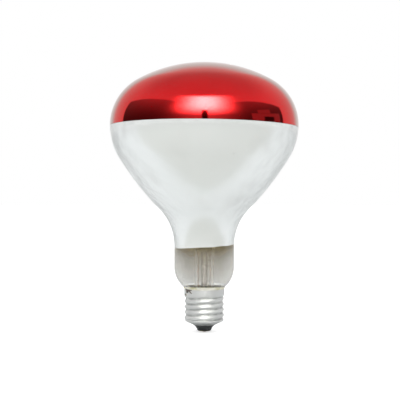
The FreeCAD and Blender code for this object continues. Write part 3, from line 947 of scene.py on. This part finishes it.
# Studio: a white sheet on a pale table in a white room. The room behind the camera is dark, with a doorway, a
# cupboard, and a softbox on a stand over the camera, and the red dome mirrors all of that.
floor_half = 12.0
floor_drop = 0.02 * mm
sheet_edge = -60 * mm
sheet_blur = 6 * mm
sheet_white = (0.90, 0.92, 0.925, 1)
table_grey = (0.745, 0.758, 0.735, 1)
paper_dark = (0.84, 0.84, 0.84, 1)
paper_light = (0.86, 0.86, 0.86, 1)
floor_glow = 0.6
plain_light = 0.9
softbox_strength = 32
softbox_colour = (1.0, 1.0, 0.93)
softbox_width = 23
glow_width = 32
glow_light = 0.85
# Each dark wall: its first edge, last edge and nearest place, as side angles in degrees, and its slope there
left_wall = (-114, 3, -62, 0.84)
right_wall = (1, 108, 50, 0.73)
wall_top_blur = 0.03
wall_foot_light = 0.07
wall_top_light = 0.38
wall_top_rise = 36
ceiling_light = 0.83
ceiling_slope = -0.25
doorway_light = 0.37
cupboard_light = 0.04
stand_light = 0.04
# What stands before the walls, by side angle and by rise: where each edge begins and ends, in degrees
doorway_edges = ((57, 59, 101, 104), (2, 4, 13, 15))
transom_edges = ((66, 68, 85, 88), (13, 15, 19, 21))
cupboard_edges = ((74, 77, 90, 93), (2, 4, 8, 10))
stand_edges = ((-3.4, -2.4, 3.4, 4.4), (0, 2, 18.5, 20.5))
softbox_rise = (8, 33, 45, 53.5)
glow_rise = (-1, 6, 20, 40)


def floor_finish():
    """White to the camera, with the shadow kept. In reflections the sheet is whiter than the table."""
    material = bpy.data.materials.new("white sheet on a pale table")
    material.use_nodes = True
    tree = material.node_tree
    tree.nodes.clear()
    place = object_place(tree)
    seen = tree.nodes.new("ShaderNodeLightPath").outputs["Is Camera Ray"]
    on_sheet = from_to(tree, part_of(tree, place, "Y"), sheet_edge - sheet_blur, sheet_edge + sheet_blur)
    fibre = put(tree, "ShaderNodeTexNoise", {"Vector": place, "Scale": 40.0, "Detail": 5.0}).outputs["Fac"]
    reflected = mixed(tree, on_sheet, table_grey, sheet_white)
    paper = mixed(tree, from_to(tree, fibre, 0.3, 0.7), paper_dark, paper_light)
    cloth = put(tree, "ShaderNodeBsdfDiffuse", {"Color": mixed(tree, seen, reflected, paper)})
    glow = put(tree, "ShaderNodeEmission", {"Strength": times(tree, seen, floor_glow)})
    both = put(tree, "ShaderNodeAddShader", {0: cloth.outputs[0], 1: glow.outputs[0]})
    under = put(tree, "ShaderNodeNewGeometry").outputs["Backfacing"]
    open_below = put(tree, "ShaderNodeBsdfTransparent")
    surface = put(tree, "ShaderNodeMixShader", {0: under, 1: both.outputs[0], 2: open_below.outputs[0]})
    tree.links.new(surface.outputs[0], tree.nodes.new("ShaderNodeOutputMaterial").inputs["Surface"])
    return material


def window(tree, value, rise_start, rise_end, fall_start, fall_end):
    """1 between two edges and 0 outside, each edge as soft as its range is wide."""
    risen = from_to(tree, value, rise_start, rise_end)
    fallen = from_to(tree, value, fall_end, fall_start)
    return times(tree, risen, fallen)


def bell(tree, value, width, power):
    """1 in the middle, falling off evenly on both sides."""
    spread = work_out(tree, "POWER", work_out(tree, "ABSOLUTE", times(tree, value, 1 / width)), power)
    return work_out(tree, "EXPONENT", times(tree, spread, -1))


def opening(tree, side, rise, edges):
    """1 in a soft-edged rectangle of the room."""
    across, upward = edges
    return times(tree, window(tree, side, *across), window(tree, rise, *upward))


def dark_wall(tree, turn, slope, first, last, middle, height):
    """Where a straight wall stands: between two side angles in degrees, with a level top edge."""
    side = work_out(tree, "DEGREES", turn)
    nearness = work_out(tree, "COSINE", work_out(tree, "SUBTRACT", turn, radians(middle)))
    over = work_out(tree, "SUBTRACT", slope, times(tree, nearness, height))
    below_top = from_to(tree, over, wall_top_blur, -wall_top_blur)
    return times(tree, window(tree, side, first - 1, first + 1, last - 1, last + 1), below_top)


def room_light(tree):
    """What a mirror sees of the room, by direction. The side angle is 0 behind the camera, + to the right."""
    way = put(tree, "ShaderNodeTexCoord").outputs["Generated"]
    across, back, up = (part_of(tree, way, axis) for axis in "XYZ")
    rise = work_out(tree, "DEGREES", work_out(tree, "ARCSINE", up))
    turn = work_out(tree, "ARCTAN2", across, times(tree, back, -1))
    side = work_out(tree, "DEGREES", turn)
    level = put(tree, "ShaderNodeCombineXYZ", {"X": across, "Y": back}).outputs[0]
    reach = put(tree, "ShaderNodeVectorMath", {0: level}, operation="LENGTH").outputs["Value"]
    slope = work_out(tree, "DIVIDE", up, reach)
    ceiling = work_out(tree, "ADD", times(tree, back, ceiling_slope), ceiling_light)
    white_walls = from_to(tree, back, 0.2, 0.9, 1.02, 0.9)
    room = mixed_number(tree, from_to(tree, rise, wall_top_rise, 66), white_walls, ceiling)
    upward = times(tree, rise, 1 / wall_top_rise)
    dark = work_out(tree, "ADD", times(tree, times(tree, upward, upward), wall_top_light), wall_foot_light)
    doorway = opening(tree, side, rise, doorway_edges)
    transom = opening(tree, side, rise, transom_edges)
    dark = mixed_number(tree, work_out(tree, "MAXIMUM", doorway, transom), dark, doorway_light)
    dark = mixed_number(tree, opening(tree, side, rise, cupboard_edges), dark, cupboard_light)
    left = dark_wall(tree, turn, slope, *left_wall)
    right = dark_wall(tree, turn, slope, *right_wall)
    room = mixed_number(tree, work_out(tree, "MAXIMUM", left, right), room, dark)
    softbox = times(tree, bell(tree, side, softbox_width, 2.3), window(tree, rise, *softbox_rise))
    softbox = times(tree, softbox, softbox_strength)
    glow = times(tree, bell(tree, side, glow_width, 2), window(tree, rise, *glow_rise))
    room = work_out(tree, "ADD", room, times(tree, glow, glow_light))
    unhidden = from_to(tree, opening(tree, side, rise, stand_edges), 0, 1, 1.0, stand_light)
    lit = [work_out(tree, "ADD", room, times(tree, softbox, share)) for share in softbox_colour]
    seen = [times(tree, value, unhidden) for value in lit]
    return put(tree, "ShaderNodeCombineXYZ", dict(zip("XYZ", seen))).outputs[0]


def backdrop(tree, colour, strength=1.0):
    """A plain world shader."""
    return put(tree, "ShaderNodeBackground", {"Color": colour, "Strength": strength}).outputs[0]


def studio_world():
    """White to the camera and through glass, plain light on all surfaces, and the room in all mirrors.

    Light that was reflected inside the thick stem sees the softbox too, which gives the stem its glints.
    """
    world = bpy.data.worlds.new("studio")
    world.use_nodes = True
    tree = world.node_tree
    tree.nodes.clear()
    white = (1, 1, 1, 1)
    path = tree.nodes.new("ShaderNodeLightPath").outputs
    deep = work_out(tree, "GREATER_THAN", path["Transmission Depth"], 3.5)
    inside = times(tree, deep, work_out(tree, "GREATER_THAN", path["Glossy Depth"], 0.5))
    room = room_light(tree)
    glints = put(tree, "ShaderNodeVectorMath", {0: room, 1: white[:3]}, operation="MAXIMUM").outputs[0]
    clear = backdrop(tree, mixed(tree, inside, white, glints))
    plain = backdrop(tree, white, plain_light)
    through = work_out(tree, "MAXIMUM", path["Is Camera Ray"], path["Is Transmission Ray"])
    mirrored = {0: path["Is Glossy Ray"], 1: plain, 2: backdrop(tree, room)}
    lit = put(tree, "ShaderNodeMixShader", mirrored).outputs[0]
    whole = put(tree, "ShaderNodeMixShader", {0: through, 1: lit, 2: clear})
    tree.links.new(whole.outputs[0], tree.nodes.new("ShaderNodeOutputWorld").inputs["Surface"])
    world.cycles.sampling_method = "NONE"
    bpy.context.scene.world = world


floor_mesh = bpy.data.meshes.new("floor")
floor_ends = [(-1, -1), (1, -1), (1, 1), (-1, 1)]
floor_corners = [(x * floor_half, y * floor_half, -floor_drop) for x, y in floor_ends]
floor_mesh.from_pydata(floor_corners, [], [(0, 1, 2, 3)])
floor_mesh.materials.append(floor_finish())
floor = bpy.data.objects.new("floor", floor_mesh)
bpy.context.collection.objects.link(floor)
studio_world()

key_data = bpy.data.lights.new("overhead softbox", "AREA")
key_data.shape = "DISK"
key_data.size = 0.9
key_data.energy = 3.0
key = bpy.data.objects.new("overhead softbox", key_data)
key.location = (-0.35, -0.55, 1.1)
key.rotation_euler = (Vector((0, 0, 0.09)) - key.location).to_track_quat("-Z", "Y").to_euler()
key.visible_glossy = False
key.visible_camera = False
key.visible_transmission = False
bpy.context.collection.objects.link(key)

camera_data = bpy.data.cameras.new("camera")
camera_data.sensor_width = 36
camera_data.lens = 77.4
camera_data.clip_start = 0.01
camera = bpy.data.objects.new("camera", camera_data)
camera.location = (-2.8 * mm, -572 * mm, 87.4 * mm)
camera.rotation_euler = (pi / 2, 0, 0)
bpy.context.collection.objects.link(camera)

glass_bounces = 28
scene = bpy.context.scene
scene.camera = camera
scene.view_settings.view_transform = "Standard"
scene.cycles.max_bounces = glass_bounces
scene.cycles.transmission_bounces = glass_bounces
scene.cycles.transparent_max_bounces = glass_bounces
